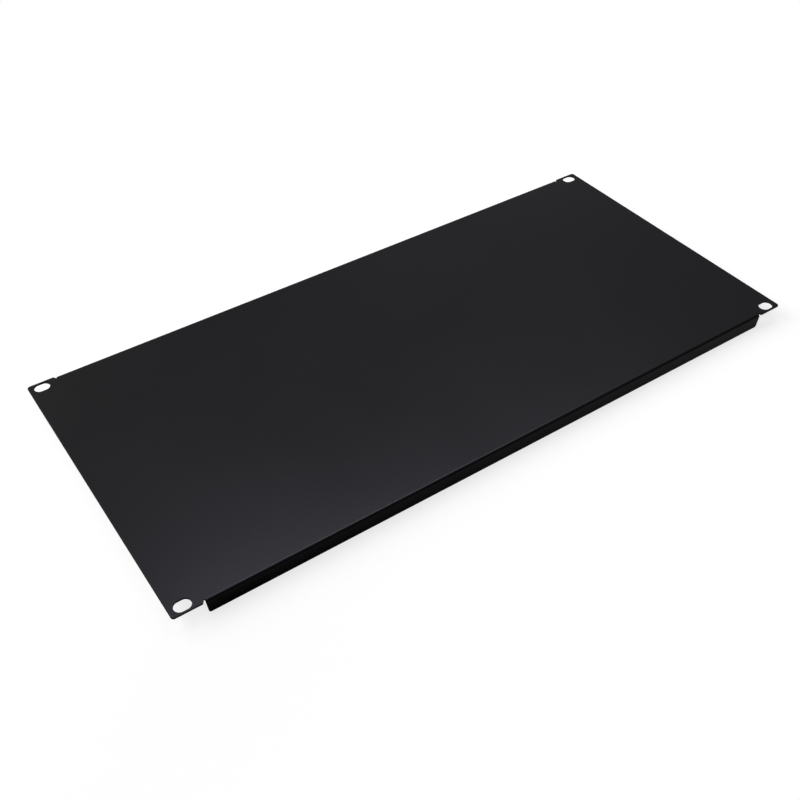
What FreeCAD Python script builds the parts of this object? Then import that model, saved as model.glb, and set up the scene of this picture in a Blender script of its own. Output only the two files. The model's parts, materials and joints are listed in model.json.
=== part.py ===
import FreeCAD, Part
import math
import os
import Sketcher

# Rack blanking panel, five units high, folded from one sheet of steel.
# It lies face up on the free edges of its two folded flanges.
# X runs along the panel's width, Y along its height and Z out of its face.
# The origin is under the middle of the panel, level with the flange edges.

# Driving dimensions in millimetres, and one angle in degrees

SIZES = [
    # Overall size of the folded panel
    ("panel_width", 482.6),
    ("panel_height", 220.0),
    ("flange_depth", 10.7),
    # The sheet and its bends
    ("sheet_thickness", 1.2),
    ("bend_inside_radius", 0.7),
    # The flat ears at the two ends, which lie on the rack rails
    ("ear_width", 20.5),
    ("ear_corner_radius", 2.0),
    # The V notch that parts an ear from the end of a flange
    ("notch_width", 2.0),
    ("notch_past_bend", 0.3),
    ("notch_root_radius", 0.3),
    # The free ends of the flanges
    ("flange_end_angle", 6.0),
    ("flange_corner_radius", 1.4),
    # The screw slots, one near each corner of the panel
    ("slot_length", 10.6),
    ("slot_width", 7.6),
    ("slot_from_side", 8.75),
    ("slot_from_edge", 5.225),
    # The broken edge all round the outer skin
    ("edge_break", 0.2),
    # How far a cut's outline runs past the metal that it removes
    ("cut_overrun", 1.0),
]

doc = FreeCAD.newDocument("blanking_panel")
sheet = doc.addObject("Spreadsheet::Sheet", "sizes")
for row, (alias, number) in enumerate(SIZES, start=1):
    sheet.set("A%d" % row, alias)
    sheet.set("B%d" % row, str(number))
    sheet.setAlias("B%d" % row, alias)
doc.recompute()

# Places that several sketches share, as expressions on the sheet

HALF_WIDTH = "sizes.panel_width / 2"
HALF_HEIGHT = "sizes.panel_height / 2"
BEND_RADIUS = "(sizes.bend_inside_radius + sizes.sheet_thickness)"
BEND_FOOT = "sizes.flange_depth - " + BEND_RADIUS
FLANGE_END = HALF_WIDTH + " - sizes.ear_width"
EAR_UNDERSIDE = "sizes.flange_depth - sizes.sheet_thickness"
FACE = "sizes.flange_depth"

# The same places as numbers, from which each outline is first drawn

size = dict(SIZES)
half_width = size["panel_width"] / 2
half_height = size["panel_height"] / 2
thickness = size["sheet_thickness"]
inside_radius = size["bend_inside_radius"]
bend_radius = inside_radius + thickness
bend_start = half_height - bend_radius
bend_foot = size["flange_depth"] - bend_radius
flange_end = half_width - size["ear_width"]
overrun = size["cut_overrun"]

# Edges are found on the face's plane to this closeness, in millimetres, and count
# as sharp where their two surfaces meet at more than this angle, in degrees

LEVEL_TOLERANCE = 0.001
SMOOTH_ANGLE = 20

# Names for the points and axes of a sketch

START, END, CENTRE = range(1, 4)
ORIGIN = (-1, START)
ACROSS_AXIS, UP_AXIS = range(-1, -3, -1)


def point(x, y):
    """A point in a sketch's own plane."""
    return FreeCAD.Vector(x, y, 0)


def line(first, second):
    """A straight stretch of an outline."""
    return Part.LineSegment(point(*first), point(*second))


def arc(centre, radius, first_degrees, last_degrees):
    """A round stretch of an outline, turning anticlockwise."""
    circle = Part.Circle(point(*centre), FreeCAD.Vector(0, 0, 1), radius)
    return Part.ArcOfCircle(circle, math.radians(first_degrees), math.radians(last_degrees))


def draw(body, name, role, outline, height=None):
    """A sketch on one of the body's own planes, raised to a height on the sheet."""
    plane = [datum for datum in body.Origin.OriginFeatures if datum.Role == role][0]
    sketch = body.newObject("Sketcher::SketchObject", name)
    sketch.AttachmentSupport = [(plane, "")]
    sketch.MapMode = "FlatFace"
    if height:
        sketch.setExpression("AttachmentOffset.Base.z", height)
    sketch.addGeometry(outline, False)
    return sketch


def tie(sketch, kind, *ties):
    """The same kind of constraint on each set of lines or points."""
    for members in ties:
        sketch.addConstraint(Sketcher.Constraint(kind, *members))


def drive(sketch, name, constraint, expression):
    """A dimension of the sketch that follows the sheet."""
    index = sketch.addConstraint(constraint)
    sketch.renameConstraint(index, name)
    sketch.setExpression("Constraints." + name, expression)


def drive_x(sketch, name, first, second, expression):
    """A dimension across the sketch, from its first point to its second."""
    span = sketch.getPoint(*second).x - sketch.getPoint(*first).x
    drive(sketch, name, Sketcher.Constraint("DistanceX", *first, *second, span), expression)


def drive_y(sketch, name, first, second, expression):
    """A dimension up the sketch, from its first point to its second."""
    span = sketch.getPoint(*second).y - sketch.getPoint(*first).y
    drive(sketch, name, Sketcher.Constraint("DistanceY", *first, *second, span), expression)


def drive_radius(sketch, name, curve, expression):
    """The radius of an arc in the sketch."""
    radius = sketch.Geometry[curve].Radius
    drive(sketch, name, Sketcher.Constraint("Radius", curve, radius), expression)


def solid(body, kind, name, profile):
    """A pad or a pocket of the body, made from a sketch."""
    feature = body.newObject("PartDesign::" + kind, name)
    feature.Profile = profile
    feature.Refine = True
    profile.Visibility = False
    return feature


def mirrored(body, name, originals, roles):
    """Copies of some features on the far side of each of the body's middle planes."""
    steps = []
    for number, role in enumerate(roles):
        step = body.newObject("PartDesign::Mirrored", "%s_step_%d" % (name, number))
        plane = [datum for datum in body.Origin.OriginFeatures if datum.Role == role][0]
        step.MirrorPlane = (plane, [""])
        steps.append(step)
    if len(steps) == 1:
        steps[0].Originals = originals
        body.Tip = steps[0]
        return steps[0]
    whole = body.newObject("PartDesign::MultiTransform", name)
    whole.Originals = originals
    whole.Transformations = steps
    whole.Refine = True
    body.Tip = whole
    return whole


def folded_section(body):
    """Section of the face and its two flanges: one strip with two rounded bends."""
    inside = half_height - thickness
    underside = size["flange_depth"] - thickness
    face = size["flange_depth"]
    outline = [
        line((-bend_start, face), (bend_start, face)),
        arc((bend_start, bend_foot), bend_radius, 0, 90),
        line((half_height, bend_foot), (half_height, 0)),
        line((half_height, 0), (inside, 0)),
        line((inside, 0), (inside, bend_foot)),
        arc((bend_start, bend_foot), inside_radius, 0, 90),
        line((bend_start, underside), (-bend_start, underside)),
        arc((-bend_start, bend_foot), inside_radius, 90, 180),
        line((-inside, bend_foot), (-inside, 0)),
        line((-inside, 0), (-half_height, 0)),
        line((-half_height, 0), (-half_height, bend_foot)),
        arc((-bend_start, bend_foot), bend_radius, 90, 180),
    ]
    sketch = draw(body, "folded_section", "YZ_Plane", outline)
    tie(sketch, "Tangent", (0, END, 1, END), (1, START, 2, START), (4, END, 5, START))
    tie(sketch, "Tangent", (5, END, 6, START), (6, END, 7, START), (7, END, 8, START))
    tie(sketch, "Tangent", (10, END, 11, END), (11, START, 0, START))
    tie(sketch, "Coincident", (2, END, 3, START), (3, END, 4, START))
    tie(sketch, "Coincident", (8, END, 9, START), (9, END, 10, START))
    tie(sketch, "Coincident", (1, CENTRE, 5, CENTRE), (7, CENTRE, 11, CENTRE))
    tie(sketch, "Horizontal", (3,), (6,), (9,))
    tie(sketch, "Vertical", (2,), (4,), (8,), (10,))
    tie(sketch, "Symmetric", (0, START, 0, END, UP_AXIS))
    tie(sketch, "PointOnObject", (3, START, ACROSS_AXIS), (9, END, ACROSS_AXIS))
    tie(sketch, "Equal", (5, 7))
    drive_x(sketch, "height", (9, END), (3, START), "sizes.panel_height")
    drive_x(sketch, "sheet", (3, END), (3, START), "sizes.sheet_thickness")
    drive_y(sketch, "depth", (2, END), (0, END), "sizes.flange_depth")
    drive_radius(sketch, "bend", 5, "sizes.bend_inside_radius")
    return sketch


def ear_outline(body):
    """One flat ear, as high as the panel, with its two outer corners rounded."""
    corner = size["ear_corner_radius"]
    side = half_height - corner
    edge = half_width - corner
    outline = [
        line((flange_end, -half_height), (flange_end, half_height)),
        line((flange_end, half_height), (edge, half_height)),
        arc((edge, side), corner, 0, 90),
        line((half_width, side), (half_width, -side)),
        arc((edge, -side), corner, -90, 0),
        line((edge, -half_height), (flange_end, -half_height)),
    ]
    sketch = draw(body, "ear_outline", "XY_Plane", outline, EAR_UNDERSIDE)
    tie(sketch, "Coincident", (0, END, 1, START), (5, END, 0, START))
    tie(sketch, "Tangent", (1, END, 2, END), (2, START, 3, START))
    tie(sketch, "Tangent", (3, END, 4, END), (4, START, 5, START))
    tie(sketch, "Symmetric", (0, START, 0, END, ACROSS_AXIS))
    tie(sketch, "Horizontal", (1,), (5,))
    tie(sketch, "Vertical", (3,))
    tie(sketch, "Equal", (2, 4))
    drive_x(sketch, "flange_end", ORIGIN, (0, START), FLANGE_END)
    drive_x(sketch, "side", ORIGIN, (3, START), HALF_WIDTH)
    drive_y(sketch, "height", (0, START), (0, END), "sizes.panel_height")
    drive_radius(sketch, "corner", 2, "sizes.ear_corner_radius")
    return sketch


def notch_outline(body):
    """V notch at one corner: upright along the flange's end, slanted along the ear."""
    root = size["notch_root_radius"]
    width = size["notch_width"]
    depth = bend_radius + size["notch_past_bend"]
    root_centre = (flange_end + root, half_height - depth + root)
    # The slanted side leaves the root's arc at this angle to the panel's height
    slant = math.atan2(width, depth)
    leaves = (root_centre[0] + root * math.cos(slant), root_centre[1] - root * math.sin(slant))
    top = half_height + overrun
    mouth = (flange_end + width, half_height)
    reach = (leaves[0] + (top - leaves[1]) * math.tan(slant), top)
    outline = [
        line((flange_end, top), (flange_end, root_centre[1])),
        arc(root_centre, root, -180, -math.degrees(slant)),
        line(leaves, reach),
        line(reach, (flange_end, top)),
        Part.Point(point(*mouth)),
    ]
    sketch = draw(body, "notch_outline", "XY_Plane", outline, FACE)
    sketch.toggleConstruction(4)
    tie(sketch, "Tangent", (0, END, 1, START), (1, END, 2, START))
    tie(sketch, "Coincident", (2, END, 3, START), (3, END, 0, START))
    tie(sketch, "Vertical", (0,))
    tie(sketch, "Horizontal", (3,))
    tie(sketch, "PointOnObject", (4, START, 2))
    drive_x(sketch, "flange_end", ORIGIN, (0, START), FLANGE_END)
    drive_x(sketch, "mouth", (0, START), (4, START), "sizes.notch_width")
    drive_y(sketch, "edge", ORIGIN, (4, START), HALF_HEIGHT)
    drive_y(sketch, "overrun", (4, START), (0, START), "sizes.cut_overrun")
    past = BEND_RADIUS + " + sizes.notch_past_bend - sizes.notch_root_radius"
    drive_y(sketch, "depth", (1, CENTRE), (4, START), past)
    drive_radius(sketch, "root", 1, "sizes.notch_root_radius")
    return sketch


def slot_outline(body):
    """Screw slot at one corner, long along the panel's width, with round ends."""
    end_radius = size["slot_width"] / 2
    reach = size["slot_length"] / 2 - end_radius
    middle = half_width - size["slot_from_side"]
    level = half_height - size["slot_from_edge"]
    near = (middle - reach, level)
    far = (middle + reach, level)
    outline = [
        line((near[0], level + end_radius), (far[0], level + end_radius)),
        arc(far, end_radius, -90, 90),
        line((far[0], level - end_radius), (near[0], level - end_radius)),
        arc(near, end_radius, 90, 270),
    ]
    sketch = draw(body, "slot_outline", "XY_Plane", outline, FACE)
    tie(sketch, "Tangent", (0, END, 1, END), (1, START, 2, START))
    tie(sketch, "Tangent", (2, END, 3, END), (3, START, 0, START))
    tie(sketch, "Horizontal", (0,))
    tie(sketch, "Equal", (1, 3))
    half_reach = "(sizes.slot_length - sizes.slot_width) / 2"
    drive_x(sketch, "side", ORIGIN, (1, CENTRE), HALF_WIDTH + " - sizes.slot_from_side + " + half_reach)
    drive_x(sketch, "reach", (3, CENTRE), (1, CENTRE), "sizes.slot_length - sizes.slot_width")
    drive_y(sketch, "edge", ORIGIN, (1, CENTRE), HALF_HEIGHT + " - sizes.slot_from_edge")
    drive_radius(sketch, "end", 1, "sizes.slot_width / 2")
    return sketch


def flange_end_outline(body):
    """What the flanges lose at one end: a slight taper and a rounded free corner."""
    corner = size["flange_corner_radius"]
    taper = math.radians(size["flange_end_angle"])
    # The corner's arc touches both the tapered end and the free edge
    along = flange_end - (bend_foot - corner) * math.tan(taper) - corner / math.cos(taper)
    touch = (along + corner * math.cos(taper), corner - corner * math.sin(taper))
    outline = [
        line(touch, (flange_end, bend_foot)),
        line((flange_end, bend_foot), (flange_end + overrun, bend_foot)),
        line((flange_end + overrun, bend_foot), (flange_end + overrun, -overrun)),
        line((flange_end + overrun, -overrun), (along, -overrun)),
        line((along, -overrun), (along, 0)),
        arc((along, corner), corner, -90, -size["flange_end_angle"]),
    ]
    sketch = draw(body, "flange_end_outline", "XZ_Plane", outline)
    tie(sketch, "Coincident", (0, END, 1, START), (1, END, 2, START), (2, END, 3, START))
    tie(sketch, "Coincident", (3, END, 4, START), (4, END, 5, START))
    tie(sketch, "Tangent", (5, END, 0, START))
    tie(sketch, "Horizontal", (1,), (3,))
    tie(sketch, "Vertical", (2,), (4,), (5, START, 5, CENTRE))
    tie(sketch, "PointOnObject", (4, END, ACROSS_AXIS))
    drive_x(sketch, "flange_end", ORIGIN, (0, END), FLANGE_END)
    drive_x(sketch, "overrun", (1, START), (1, END), "sizes.cut_overrun")
    drive_y(sketch, "overrun_below", (4, START), (4, END), "sizes.cut_overrun")
    drive_y(sketch, "bend_foot", ORIGIN, (0, END), BEND_FOOT)
    drive_radius(sketch, "corner", 5, "sizes.flange_corner_radius")
    upright = Sketcher.Constraint("Angle", 0, math.pi / 2 - taper)
    drive(sketch, "taper", upright, "90 deg - sizes.flange_end_angle * 1 deg")
    return sketch


def rim_of_face(shape, level):
    """Names of the sharp edges that lie in the plane of the panel's face."""
    names = []
    for number, edge in enumerate(shape.Edges, start=1):
        if edge.BoundBox.ZMin < level - LEVEL_TOLERANCE:
            continue
        middle = edge.valueAt((edge.FirstParameter + edge.LastParameter) / 2)
        normals = []
        for face in shape.ancestorsOfType(edge, Part.Face):
            normals.append(face.normalAt(*face.Surface.parameter(middle)))
        if math.degrees(normals[0].getAngle(normals[1])) > SMOOTH_ANGLE:
            names.append("Edge%d" % number)
    return names


def blanking_panel():
    """The folded panel: strip, ears, notches, slots, flange ends and broken edges."""
    body = doc.addObject("PartDesign::Body", "blanking_panel")
    body.Label = "blanking_panel"
    body.Placement = FreeCAD.Placement()

    # The face between the ears, with both flanges folded down
    strip = solid(body, "Pad", "folded_strip", folded_section(body))
    strip.SideType = "Symmetric"
    strip.setExpression("Length", "2 * (" + FLANGE_END + ")")

    # The ears carry the face on, flat, to the panel's two sides
    ear = solid(body, "Pad", "ear", ear_outline(body))
    ear.setExpression("Length", "sizes.sheet_thickness")
    mirrored(body, "ears", [ear], ["YZ_Plane"])

    # One corner's notch and slot, and the same at the other three corners
    notch = solid(body, "Pocket", "notch", notch_outline(body))
    notch.Type = "ThroughAll"
    slot = solid(body, "Pocket", "slot", slot_outline(body))
    slot.Type = "ThroughAll"
    mirrored(body, "corners", [notch, slot], ["XZ_Plane", "YZ_Plane"])

    # One cut shapes the same end of both flanges
    flange_cut = solid(body, "Pocket", "flange_cut", flange_end_outline(body))
    flange_cut.Type = "ThroughAll"
    flange_cut.SideType = "Symmetric"
    shaped = mirrored(body, "flange_cuts", [flange_cut], ["YZ_Plane"])
    doc.recompute()

    # The rim of the face and of its slots is broken, and the rim runs on down each
    # flange's ends, because it turns smoothly into them at the bends
    rim = body.newObject("PartDesign::Chamfer", "edge_break")
    rim.Base = (shaped, rim_of_face(shaped.Shape, size["flange_depth"]))
    rim.setExpression("Size", "sizes.edge_break")
    rim.Refine = True
    body.Tip = rim
    doc.recompute()
    return body


def check(body):
    """Stops before anything is written if a feature failed or a cut took nothing off."""
    for item in doc.Objects:
        if "Invalid" in item.State or "Error" in item.State:
            raise RuntimeError(item.Name + " is " + ", ".join(item.State))
    if body.Shape.isNull() or not body.Shape.isValid() or len(body.Shape.Solids) != 1:
        raise RuntimeError(body.Label + " is not one valid solid")
    for name in ("notch", "slot", "corners", "flange_cut", "edge_break"):
        feature = doc.getObject(name)
        if feature.Shape.Volume >= feature.BaseFeature.Shape.Volume:
            raise RuntimeError(name + " takes nothing off")


panel = blanking_panel()
check(panel)
os.makedirs("parts", exist_ok=True)
panel.Shape.exportStep("parts/" + panel.Label + ".step")
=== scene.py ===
import json
import math

import bpy
import numpy as np
from mathutils import Matrix, Vector
from mathutils.geometry import delaunay_2d_cdt


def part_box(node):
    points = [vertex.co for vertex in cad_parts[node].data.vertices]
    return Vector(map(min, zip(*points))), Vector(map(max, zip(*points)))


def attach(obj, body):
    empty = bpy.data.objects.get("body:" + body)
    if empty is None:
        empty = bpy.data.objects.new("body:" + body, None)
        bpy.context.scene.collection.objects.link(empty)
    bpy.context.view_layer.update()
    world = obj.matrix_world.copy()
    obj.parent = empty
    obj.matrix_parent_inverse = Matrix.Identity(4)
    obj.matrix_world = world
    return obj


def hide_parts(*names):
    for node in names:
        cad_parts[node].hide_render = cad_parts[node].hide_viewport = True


# A folded steel blanking panel for a rack, black powder coated, lying face up on the
# free edges of its two flanges. X runs along its width, Y along its height, Z up.

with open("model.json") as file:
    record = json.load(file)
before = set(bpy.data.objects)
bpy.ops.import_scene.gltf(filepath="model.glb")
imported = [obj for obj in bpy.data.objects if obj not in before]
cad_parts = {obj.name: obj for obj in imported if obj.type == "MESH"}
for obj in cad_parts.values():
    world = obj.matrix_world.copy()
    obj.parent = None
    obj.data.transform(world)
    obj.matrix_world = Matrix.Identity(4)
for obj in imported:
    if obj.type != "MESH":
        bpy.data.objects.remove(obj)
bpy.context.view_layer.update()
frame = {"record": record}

# Sizes in metres

MM = 0.001
HALF_WIDTH, HALF_HEIGHT, FACE_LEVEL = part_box("blanking_panel")[1]

MOUNTS = {mount["name"]: mount for mount in frame["record"]["mounts"]}
SLOT_PATTERN = MOUNTS["rack_slots"]["dims"]
SLOT_X = SLOT_PATTERN["spacing_x_mm"] * MM / 2
SLOT_Y = SLOT_PATTERN["spacing_y_mm"] * MM / 2
SLOT_RADIUS = SLOT_PATTERN["hole_r_mm"] * MM
SLOT_REACH = SLOT_PATTERN["slot_length_mm"] * MM / 2 - SLOT_RADIUS

SHEET = 1.2 * MM
BEND_RADIUS = 1.9 * MM
EAR_WIDTH = 20.5 * MM
EAR_CORNER = 2.0 * MM
NOTCH_WIDTH = 2.0 * MM
NOTCH_PAST_BEND = 0.3 * MM
NOTCH_ROOT = 0.3 * MM
FLANGE_END_ANGLE = math.radians(6.0)
FLANGE_CORNER = 1.4 * MM

# The die rounds the face's side of a cut edge more than the other side
OUTER_ROUNDING = 0.32 * MM
INNER_ROUNDING = 0.16 * MM

# Where the flanges end along X, and how high the bends end over the floor
FLANGE_END = HALF_WIDTH - EAR_WIDTH
BEND_FOOT = FACE_LEVEL - BEND_RADIUS

# Places along the flat blank's height, measured from its middle: where the bend
# starts and ends, and where the flange's free edge is
BEND_START = HALF_HEIGHT - BEND_RADIUS
BEND_LENGTH = (BEND_RADIUS - SHEET / 2) * math.pi / 2
BEND_END = BEND_START + BEND_LENGTH
FREE_EDGE = BEND_END + BEND_FOOT

# How finely curves and the face are divided, and how far the face's grid stays
# away from the flanges' ends and from the bends
BEND_STEPS = 10
ARC_STEPS = 10
SLOT_STEPS = 24
ROUNDING_STEPS = 4
FACE_STEPS_X = 48
FACE_STEPS_Y = 20
GRID_MARGIN_X = 3 * MM
GRID_MARGIN_Y = 4 * MM

# Points nearer than these count as level or as one: in metres, and in millimetres
# where the blank is cut into triangles
LEVEL_TOLERANCE = 1e-7
MERGE_TOLERANCE_MM = 1e-5

# The face dishes by this much between its folds, as rolled sheet does, with a slow
# ripple as a share of that: its waves along X and Y, in radians per metre, and starts
DISH = 0.25 * MM
RIPPLE_SHARE = 0.1
RIPPLE_WAVES = (31, 47)
RIPPLE_STARTS = (1.3, 0.4)


def arc_points(centre, radius, first, last, steps):
    """Points on a circle's arc: centre plus radius times cosine and sine of the angle,
    as the angle, in degrees, goes evenly from first to last."""
    angle = np.radians(np.linspace(first, last, steps + 1))
    x = centre[0] + radius * np.cos(angle)
    y = centre[1] + radius * np.sin(angle)
    return np.column_stack([x, y])


def corner_of_blank():
    """Outline of the flat blank's right far quarter, from the ear's side to the
    flange's free edge: ear corner, ear edge, slanted side and root of the notch,
    then the flange's end with its taper and rounded corner."""
    ear_centre = (HALF_WIDTH - EAR_CORNER, HALF_HEIGHT - EAR_CORNER)
    ear = arc_points(ear_centre, EAR_CORNER, 0, 90, ARC_STEPS)
    mouth = np.array([[FLANGE_END + NOTCH_WIDTH, HALF_HEIGHT]])
    depth = BEND_RADIUS + NOTCH_PAST_BEND
    slant = math.degrees(math.atan2(NOTCH_WIDTH, depth))
    root_centre = (FLANGE_END + NOTCH_ROOT, HALF_HEIGHT - depth + NOTCH_ROOT)
    root = arc_points(root_centre, NOTCH_ROOT, -slant, -180, ARC_STEPS)[:-1]
    bend_levels = np.linspace(BEND_START, BEND_END, BEND_STEPS + 1)
    bend = np.column_stack([np.full(BEND_STEPS + 1, FLANGE_END), bend_levels])
    taper = (BEND_FOOT - FLANGE_CORNER) * math.tan(FLANGE_END_ANGLE)
    along = FLANGE_END - taper - FLANGE_CORNER / math.cos(FLANGE_END_ANGLE)
    corner_centre = (along, FREE_EDGE - FLANGE_CORNER)
    first = math.degrees(FLANGE_END_ANGLE)
    corner = arc_points(corner_centre, FLANGE_CORNER, first, 90, ARC_STEPS)
    return np.concatenate([ear, mouth, root, bend, corner])


def blank_outline():
    """The whole blank's outline, anticlockwise: one quarter mirrored three times."""
    quarter = corner_of_blank()
    left = quarter[::-1] * (-1, 1)
    upper = np.concatenate([quarter, left])
    lower = (upper * (1, -1))[::-1]
    return np.concatenate([upper, lower])


def slot_outline(x, y):
    """A slot's outline, clockwise so that the metal lies on its left: two half
    circles about points on the slot's middle line, joined by straight sides."""
    right = arc_points((x + SLOT_REACH, y), SLOT_RADIUS, 90, -90, SLOT_STEPS)
    left = arc_points((x - SLOT_REACH, y), SLOT_RADIUS, -90, -270, SLOT_STEPS)
    return np.concatenate([right, left])


def outward(points):
    """Direction out of the metal at each point of a closed outline, lengthened so
    that a step of one along it is a step of one away from both sides that meet there."""
    ahead = np.roll(points, -1, axis=0) - points
    behind = points - np.roll(points, 1, axis=0)
    ahead = ahead / np.linalg.norm(ahead, axis=1)[:, None]
    behind = behind / np.linalg.norm(behind, axis=1)[:, None]
    first = np.column_stack([behind[:, 1], -behind[:, 0]])
    second = np.column_stack([ahead[:, 1], -ahead[:, 0]])
    both = first + second
    return both / (1 + (first * second).sum(axis=1))[:, None]


def dish(x, y):
    """How far the face lies below its folds: a cosine bulge over width and height,
    times one plus the ripple, a sine along X times a sine along Y."""
    bulge = np.cos(np.clip(x / FLANGE_END, -1, 1) * math.pi / 2)
    bulge = bulge * np.cos(np.clip(y / BEND_START, -1, 1) * math.pi / 2)
    wave_x = np.sin(x * RIPPLE_WAVES[0] + RIPPLE_STARTS[0])
    wave_y = np.sin(y * RIPPLE_WAVES[1] + RIPPLE_STARTS[1])
    return DISH * bulge * (1 + RIPPLE_SHARE * wave_x * wave_y)


def fold(x, v, depth):
    """Place of a point of the blank after folding, the skin's normal there, and the
    way on along the blank's height. x is along the width, v along the flat height and
    depth below the outer skin. Past the bend's start a point turns about the bend's
    centre by its share of a quarter turn, and past its end it runs straight down. The
    ears, beyond the flanges' ends, stay flat."""
    side = np.where(v < 0, -1.0, 1.0)
    height = np.abs(v)
    folded = np.abs(x) < FLANGE_END + LEVEL_TOLERANCE
    share = np.where(folded, np.clip((height - BEND_START) / BEND_LENGTH, 0, 1), 0)
    turn = share * math.pi / 2
    start = np.where(folded, np.minimum(height, BEND_START), height)
    down = np.where(folded, np.maximum(height - BEND_END, 0), 0)
    radius = BEND_RADIUS - depth
    y = side * (start + np.where(share > 0, radius * np.sin(turn), 0))
    z = BEND_FOOT + radius * np.cos(turn) - down - dish(x, v)
    normal = np.stack([np.zeros_like(x), side * np.sin(turn), np.cos(turn)], axis=-1)
    along = np.stack([np.zeros_like(x), np.cos(turn), -side * np.sin(turn)], axis=-1)
    return np.stack([x, y, z], axis=-1), normal, along


def rim_section():
    """Section of a cut edge, from the outer skin to the inner one: inset from the
    full outline, depth, and the edge's direction as its part out of the metal and
    its part up. A quarter circle, a straight side and a smaller quarter circle."""
    angle = np.linspace(0, math.pi / 2, ROUNDING_STEPS + 1)
    sine, cosine = np.sin(angle), np.cos(angle)
    outer_inset = OUTER_ROUNDING * (1 - sine)
    outer_depth = OUTER_ROUNDING * (1 - cosine)
    inner_inset = INNER_ROUNDING * (1 - cosine)
    inner_depth = SHEET - INNER_ROUNDING * (1 - sine)
    outer = np.column_stack([outer_inset, outer_depth, sine, cosine])
    inner = np.column_stack([inner_inset, inner_depth, cosine, -sine])
    return np.concatenate([outer, inner])


def rims(outlines):
    """The cut edges round every outline: the rim's section carried along each one.
    Places, normals, quads, and for each rim its first row's and last row's indexes
    with the first row's places on the blank."""
    section = rim_section()
    rows, normals, quads, rings = [], [], [], []
    count = 0
    for outline in outlines:
        out = outward(outline)
        flat = out / np.linalg.norm(out, axis=1)[:, None]
        inset, depth, sideways, upwards = (column[None, :] for column in section.T)
        x = outline[:, 0:1] - out[:, 0:1] * inset
        v = outline[:, 1:2] - out[:, 1:2] * inset
        place, up, along = fold(x, v, depth)
        across = np.zeros_like(place)
        across[..., 0] = flat[:, 0:1]
        turned = across + along * flat[:, 1:2, None]
        normal = turned * sideways[..., None] + up * upwards[..., None]
        index = count + np.arange(x.size).reshape(x.shape)
        following = np.roll(index, -1, axis=0)
        quad = np.stack([index[:, :-1], index[:, 1:], following[:, 1:], following[:, :-1]],
                        axis=-1)
        rows.append(place.reshape(-1, 3))
        normals.append(normal.reshape(-1, 3))
        quads.append(quad.reshape(-1, 4))
        rings.append((index[:, 0], index[:, -1], np.column_stack([x[:, 0], v[:, 0]])))
        count += x.size
    return np.concatenate(rows), np.concatenate(normals), np.concatenate(quads), rings


def inner_grid():
    """Points inside the blank that keep its triangles even: a plain grid over the
    face, and lines of points along the bends, with the number on each line."""
    x = np.linspace(-1, 1, FACE_STEPS_X + 1) * (FLANGE_END - GRID_MARGIN_X)
    y = np.linspace(-1, 1, FACE_STEPS_Y + 1) * (BEND_START - GRID_MARGIN_Y)
    face_x, face_y = np.meshgrid(x, y)
    face = np.column_stack([face_x.ravel(), face_y.ravel()])
    levels = np.linspace(BEND_START, BEND_END, BEND_STEPS + 1)
    bend_x, bend_y = np.meshgrid(x, np.concatenate([levels, -levels]))
    bends = np.column_stack([bend_x.ravel(), bend_y.ravel()])
    return face, bends, len(x)


def in_metal(points, outlines):
    """Which points lie in the metal: a line drawn from there along X crosses the
    outlines an odd number of times."""
    first = np.concatenate(outlines)
    second = np.concatenate([np.roll(outline, -1, axis=0) for outline in outlines])
    x, y = points[:, 0:1], points[:, 1:2]
    spans = (first[:, 1] > y) != (second[:, 1] > y)
    rise = np.where(second[:, 1] == first[:, 1], 1, second[:, 1] - first[:, 1])
    meets = first[:, 0] + (y - first[:, 1]) * (second[:, 0] - first[:, 0]) / rise
    return (spans & (x < meets)).sum(axis=1) % 2 == 1


def skins(rings):
    """Triangles of one skin over the blank, between its rims: every corner's place on
    the blank, the triangles, and the point that each corner comes from, rims first."""
    face, bends, per_line = inner_grid()
    rim_points = np.concatenate([ring[2] for ring in rings])
    edges = []
    start = 0
    for ring in rings:
        index = start + np.arange(len(ring[0]))
        edges.append(np.column_stack([index, np.roll(index, -1)]))
        start += len(index)
    points = np.concatenate([rim_points, bends, face])
    # Each line of points along a bend also reaches the rims at its two ends
    for first in range(start, start + len(bends), per_line):
        inside = np.arange(first, first + per_line)
        level = points[first, 1]
        ends = [np.argmin(np.hypot(rim_points[:, 0] - end, rim_points[:, 1] - level))
                for end in (OUTER_ROUNDING - FLANGE_END, FLANGE_END - OUTER_ROUNDING)]
        chain = np.concatenate([ends[:1], inside, ends[1:]])
        edges.append(np.column_stack([chain[:-1], chain[1:]]))
    edges = np.concatenate(edges)
    found, _, triangles, origins, _, _ = delaunay_2d_cdt(
        [Vector(point) for point in points / MM], edges.tolist(), [], 0,
        MERGE_TOLERANCE_MM, True)
    origin = np.array([those[0] if those else -1 for those in origins])
    triangles = np.array([list(triangle) for triangle in triangles])
    places = np.array([list(place) for place in found]) * MM
    metal = in_metal(places[triangles].mean(axis=1), [ring[2] for ring in rings])
    return places, triangles[metal], origin


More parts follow.
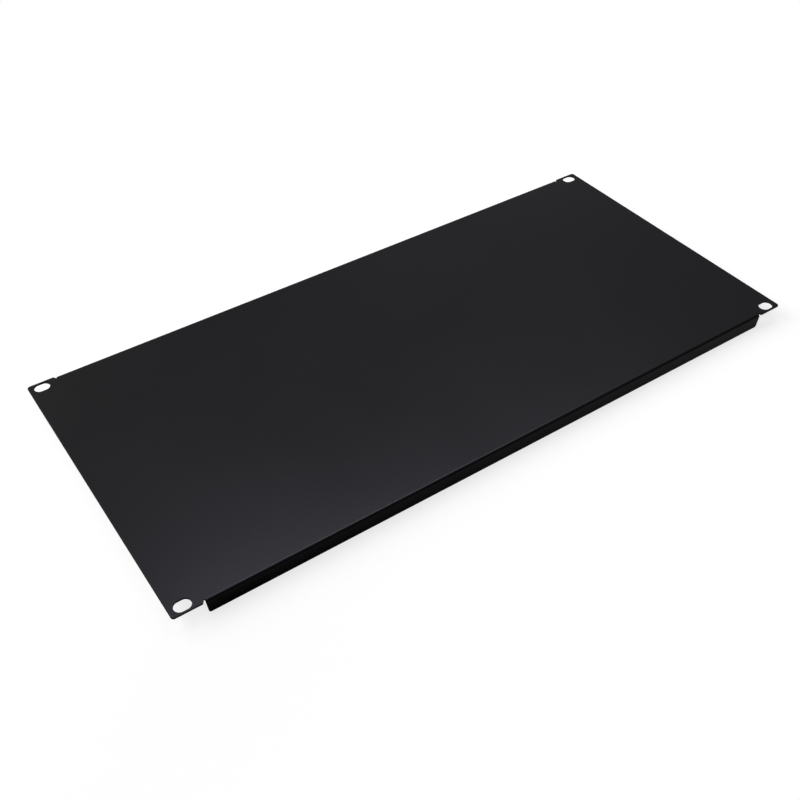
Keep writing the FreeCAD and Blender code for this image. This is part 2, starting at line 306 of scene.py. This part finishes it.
def build_panel():
    """The folded sheet as one closed mesh: rims round the outline and the slots, an
    outer skin and an inner skin that share the rims' first and last rows."""
    slots = [slot_outline(sx * SLOT_X, sy * SLOT_Y) for sx in (-1, 1) for sy in (-1, 1)]
    places, normals, quads, rings = rims([blank_outline()] + slots)
    flat, triangles, origin = skins(rings)
    first_row = np.concatenate([ring[0] for ring in rings])
    last_row = np.concatenate([ring[1] for ring in rings])
    is_rim = (origin >= 0) & (origin < len(first_row))
    free = np.flatnonzero(~is_rim)
    corners = [places]
    corner_normals = [normals]
    faces = quads.tolist()
    count = len(places)
    for depth, row, turn in ((0.0, first_row, 1), (SHEET, last_row, -1)):
        place, up, _ = fold(flat[free, 0], flat[free, 1], depth)
        index = np.zeros(len(flat), int)
        index[is_rim] = row[origin[is_rim]]
        index[free] = count + np.arange(len(free))
        count += len(free)
        corners.append(place)
        corner_normals.append(up * turn)
        faces += index[triangles][:, ::turn].tolist()
    mesh = bpy.data.meshes.new("coated_panel")
    mesh.from_pydata(np.concatenate(corners).tolist(), [], faces)
    mesh.polygons.foreach_set("use_smooth", np.ones(len(mesh.polygons), bool))
    mesh.update()
    mesh.normals_split_custom_set_from_vertices(np.concatenate(corner_normals).tolist())
    panel = bpy.data.objects.new("coated_panel", mesh)
    bpy.context.scene.collection.objects.link(panel)
    return panel


# The coat: its colour, its roughness and how far that varies to either side, how
# strongly it mirrors, and how many times in a metre each noise repeats

COAT_COLOUR = (0.009, 0.009, 0.0096)
COAT_ROUGHNESS = 0.3
COAT_SPECULAR = 0.5
GLOSS_SPREAD = 0.02
GRAIN_SCALE = 2600.0
PEEL_SCALE = 520.0
GLOSS_SCALE = 12.0

# How high the grain and the orange peel stand, and how strongly each one shows
GRAIN_HEIGHT = 0.02 * MM
GRAIN_STRENGTH = 0.35
PEEL_HEIGHT = 0.03 * MM
PEEL_STRENGTH = 0.25

# A noise's values lie mostly between these
NOISE_LOW, NOISE_HIGH = 0.3, 0.7


def add(tree, kind, **inputs):
    """A shader node with its inputs set by name: to a number or colour, or joined to
    another node's output."""
    made = tree.nodes.new(kind)
    for name, value in inputs.items():
        join(tree, value, made.inputs[name.replace("_", " ")])
    return made


def join(tree, value, socket):
    """Gives an input its value: a number or colour, or another node's output."""
    if isinstance(value, bpy.types.NodeSocket):
        tree.links.new(value, socket)
    else:
        socket.default_value = value


def step(tree, operation, first, second=0.0):
    """One step of arithmetic on two values, each a number or a node's output."""
    made = tree.nodes.new("ShaderNodeMath")
    made.operation = operation
    join(tree, first, made.inputs[0])
    join(tree, second, made.inputs[1])
    return made.outputs[0]


def between(tree, value, first, last, at_first, at_last):
    """A value that goes evenly from at_first to at_last, as another one goes from
    first to last, and stays the same outside of that."""
    made = add(tree, "ShaderNodeMapRange", Value=value, From_Min=first, From_Max=last,
               To_Min=at_first, To_Max=at_last)
    return made.outputs[0]


def powder_coat():
    """Black powder coat: a fine grain on a gentle orange peel, with a gloss that is
    slightly uneven over wide areas."""
    material = bpy.data.materials.new("powder_coat")
    material.use_nodes = True
    tree = material.node_tree
    shader = tree.nodes["Principled BSDF"]
    shader.inputs["Base Color"].default_value = (*COAT_COLOUR, 1)
    shader.inputs["Roughness"].default_value = COAT_ROUGHNESS
    shader.inputs["Specular IOR Level"].default_value = COAT_SPECULAR
    place = tree.nodes.new("ShaderNodeTexCoord").outputs["Object"]
    grain = add(tree, "ShaderNodeTexNoise", Vector=place, Scale=GRAIN_SCALE,
                Detail=2.0, Roughness=0.6)
    peel = add(tree, "ShaderNodeTexNoise", Vector=place, Scale=PEEL_SCALE,
               Detail=1.0, Roughness=0.5)
    gloss = add(tree, "ShaderNodeTexNoise", Vector=place, Scale=GLOSS_SCALE,
                Detail=2.0, Roughness=0.5)
    coarse = add(tree, "ShaderNodeBump", Strength=PEEL_STRENGTH, Distance=PEEL_HEIGHT,
                 Height=peel.outputs[0])
    fine = add(tree, "ShaderNodeBump", Strength=GRAIN_STRENGTH, Distance=GRAIN_HEIGHT,
               Height=grain.outputs[0], Normal=coarse.outputs[0])
    join(tree, fine.outputs[0], shader.inputs["Normal"])
    roughness = between(tree, gloss.outputs[0], NOISE_LOW, NOISE_HIGH,
                        COAT_ROUGHNESS - GLOSS_SPREAD, COAT_ROUGHNESS + GLOSS_SPREAD)
    join(tree, roughness, shader.inputs["Roughness"])
    return material


# The floor. A pair of values goes evenly from the panel's left end to its right end.

FLOOR_REACH = 6.0

# How brightly the floor glows for the panel, a painted glow that is no lamp, and how
# # much its darker copy takes from the lamps: a painted reflection in the near flange,
# # almost black on the left and lighter towards the right
FLOOR_GLOW = (0.0, 0.095)
FLOOR_SHADE = 0.12

# How much of the seen floor's white comes from the lamps, and so takes a shadow. It
# rises as the lamps' light falls, so that it gives the same brightness all along. The
# rest of the white is the floor's own. The lamps' share fades away from the panel, and
# past the shadow's reach it is gone.
LIT_SHARE = (0.25, 0.34)
LIT_WHITE = 0.255
FLOOR_WHITE = 1.035
SHADOW_REACH = 0.12

# How bright the room is for the panel, in front of it and behind it
ROOM_BRIGHTNESS = (0.01, 0.15)
WHITE = (1, 1, 1, 1)


def together(tree, first, second):
    """Two shaders' light added up."""
    made = tree.nodes.new("ShaderNodeAddShader")
    join(tree, first.outputs[0], made.inputs[0])
    join(tree, second.outputs[0], made.inputs[1])
    return made


def by_ray(tree, seen, otherwise, output):
    """Ends a node tree with one shader for the camera and another for other rays."""
    ray = tree.nodes.new("ShaderNodeLightPath")
    mix = tree.nodes.new("ShaderNodeMixShader")
    join(tree, ray.outputs["Is Camera Ray"], mix.inputs[0])
    join(tree, otherwise.outputs[0], mix.inputs[1])
    join(tree, seen.outputs[0], mix.inputs[2])
    end = tree.nodes.new(output)
    join(tree, mix.outputs[0], end.inputs["Surface"])


def floor_material():
    """Pale floor with the panel's soft shadow, as the camera sees it. Other rays meet
    a darker copy with a painted glow that rises towards the right, which paints the
    near flange's reflection almost black on the left and lighter on the right."""
    material = bpy.data.materials.new("pale_floor")
    material.use_nodes = True
    tree = material.node_tree
    tree.nodes.clear()
    place = tree.nodes.new("ShaderNodeTexCoord").outputs["Object"]
    parts = add(tree, "ShaderNodeSeparateXYZ", Vector=place)
    x, y = parts.outputs[0], parts.outputs[1]

    glow = between(tree, x, -HALF_WIDTH, HALF_WIDTH, *FLOOR_GLOW)
    # Painted glow: the floor shines for other rays, brighter to the right, and the near
    # flange mirrors it
    painted_floor_glow = add(tree, "ShaderNodeEmission", Strength=glow)
    # A darker copy of the floor for other rays: painted shade in the near flange's
    # reflection
    dark_floor_copy = add(tree, "ShaderNodeBsdfDiffuse",
                    Color=(FLOOR_SHADE, FLOOR_SHADE, FLOOR_SHADE, 1))

    beyond_x = step(tree, "SUBTRACT", step(tree, "ABSOLUTE", x), HALF_WIDTH)
    beyond_y = step(tree, "SUBTRACT", step(tree, "ABSOLUTE", y), HALF_HEIGHT)
    distance = step(tree, "MAXIMUM", beyond_x, beyond_y)
    share = between(tree, x, -HALF_WIDTH, HALF_WIDTH, *LIT_SHARE)
    fade = between(tree, distance, 0, SHADOW_REACH, 1, 0)
    lit_white = add(tree, "ShaderNodeBsdfDiffuse", Color=step(tree, "MULTIPLY", share, fade))
    strength = between(tree, distance, 0, SHADOW_REACH, FLOOR_WHITE - LIT_WHITE, 1)
    own_white = add(tree, "ShaderNodeEmission", Strength=strength)

    seen = together(tree, lit_white, own_white)
    # What other rays meet: the painted glow and the darker copy of the floor
    dark = together(tree, painted_floor_glow, dark_floor_copy)
    by_ray(tree, seen, dark, "ShaderNodeOutputMaterial")
    return material


def build_floor():
    """A square of floor under the panel, level with the flanges' free edges."""
    signs = ((-1, -1), (1, -1), (1, 1), (-1, 1))
    corners = [(x * FLOOR_REACH, y * FLOOR_REACH, 0) for x, y in signs]
    mesh = bpy.data.meshes.new("floor")
    mesh.from_pydata(corners, [], [(0, 1, 2, 3)])
    floor = bpy.data.objects.new("floor", mesh)
    bpy.context.scene.collection.objects.link(floor)
    floor.data.materials.append(floor_material())


def softbox(name, place, width, height, brightness, aim=(0, 0, 0), colour=(1, 1, 1),
            mirrored=True):
    """A rectangular lamp turned to face a point, the panel's middle unless another is
    given. Its surface has the given brightness, where 1 is as bright as white."""
    lamp = bpy.data.lights.new(name, "AREA")
    lamp.shape = "RECTANGLE"
    lamp.size = width
    lamp.size_y = height
    lamp.energy = brightness * math.pi * width * height
    lamp.color = colour
    made = bpy.data.objects.new(name, lamp)
    bpy.context.scene.collection.objects.link(made)
    made.location = place
    direction = Vector(aim) - Vector(place)
    made.rotation_euler = direction.to_track_quat("-Z", "Y").to_euler()
    made.visible_camera = False
    made.visible_glossy = mirrored


def place_lamps():
    """A large softbox behind the left end lights the panel and throws the soft shadow.
    It isn't mirrored, so that the black face stays black from every side. What the
    face mirrors is dimmer: a strip over the panel and a softbox behind it, which
    brighten it towards the near fold, a weak softbox on the right and a screen behind
    each end."""
    softbox("key", (-1.35, 1.35, 1.15), width=2.2, height=1.7, brightness=6.0,
            mirrored=False)
    softbox("strip", (0.2, 0.12, 0.7), width=0.7, height=0.24, brightness=1.4,
            aim=(0.2, 0.12, 0), colour=(0.95, 1.0, 1.1))
    softbox("behind", (0.47, 0.67, 1.83), width=1.2, height=0.6, brightness=1.12,
            colour=(1.04, 0.98, 1.3))
    softbox("right", (1.25, 0.95, 1.2), width=1.5, height=0.7, brightness=0.04,
            colour=(0.9, 1.0, 1.6))
    softbox("left_screen", (-1.1, 2.1, 0.9), width=2.4, height=1.6, brightness=0.72)
    softbox("right_screen", (1.75, 2.1, 0.7), width=1.2, height=1.0, brightness=0.2)


def build_room():
    """The room all round: white for the camera and dim otherwise, least so behind the
    panel, as far as a ray's direction points along Y."""
    world = bpy.data.worlds.new("room")
    bpy.context.scene.world = world
    world.use_nodes = True
    tree = world.node_tree
    tree.nodes.clear()
    direction = tree.nodes.new("ShaderNodeTexCoord").outputs["Generated"]
    parts = add(tree, "ShaderNodeSeparateXYZ", Vector=direction)
    strength = between(tree, parts.outputs[1], -1, 1, *ROOM_BRIGHTNESS)
    seen = add(tree, "ShaderNodeBackground", Color=WHITE)
    dim = add(tree, "ShaderNodeBackground", Strength=strength)
    by_ray(tree, seen, dim, "ShaderNodeOutputWorld")


# The camera: where it stands, the point that its axis meets on the face, its tilt,
# its lens and sensor in millimetres, and the nearest and furthest that it sees

CAMERA_PLACE = (-328.3 * MM, -431.4 * MM, 456.95 * MM + FACE_LEVEL)
CAMERA_AIM = (-58.65 * MM, -19.3 * MM, FACE_LEVEL)
CAMERA_ROLL = math.radians(-0.585)
CAMERA_LENS = 45.95
CAMERA_SENSOR = 36
CAMERA_SHIFT = (0.0456, -0.0094)
CAMERA_NEAR, CAMERA_FAR = 0.01, 50


def build_camera():
    """The camera at the photograph's viewpoint."""
    data = bpy.data.cameras.new("camera")
    data.sensor_fit = "HORIZONTAL"
    data.sensor_width = CAMERA_SENSOR
    data.lens = CAMERA_LENS
    data.shift_x, data.shift_y = CAMERA_SHIFT
    data.clip_start = CAMERA_NEAR
    data.clip_end = CAMERA_FAR
    camera = bpy.data.objects.new("camera", data)
    bpy.context.scene.collection.objects.link(camera)
    forward = (Vector(CAMERA_AIM) - Vector(CAMERA_PLACE)).normalized()
    turn = forward.to_track_quat("-Z", "Y").to_matrix().to_4x4()
    roll = Matrix.Rotation(CAMERA_ROLL, 4, "Z")
    camera.matrix_world = Matrix.Translation(CAMERA_PLACE) @ turn @ roll
    bpy.context.scene.camera = camera


bpy.context.scene.view_settings.view_transform = "Standard"
build_camera()
panel = build_panel()
panel.data.materials.append(powder_coat())
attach(panel, "root")
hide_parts("blanking_panel")
build_floor()
place_lamps()
build_room()
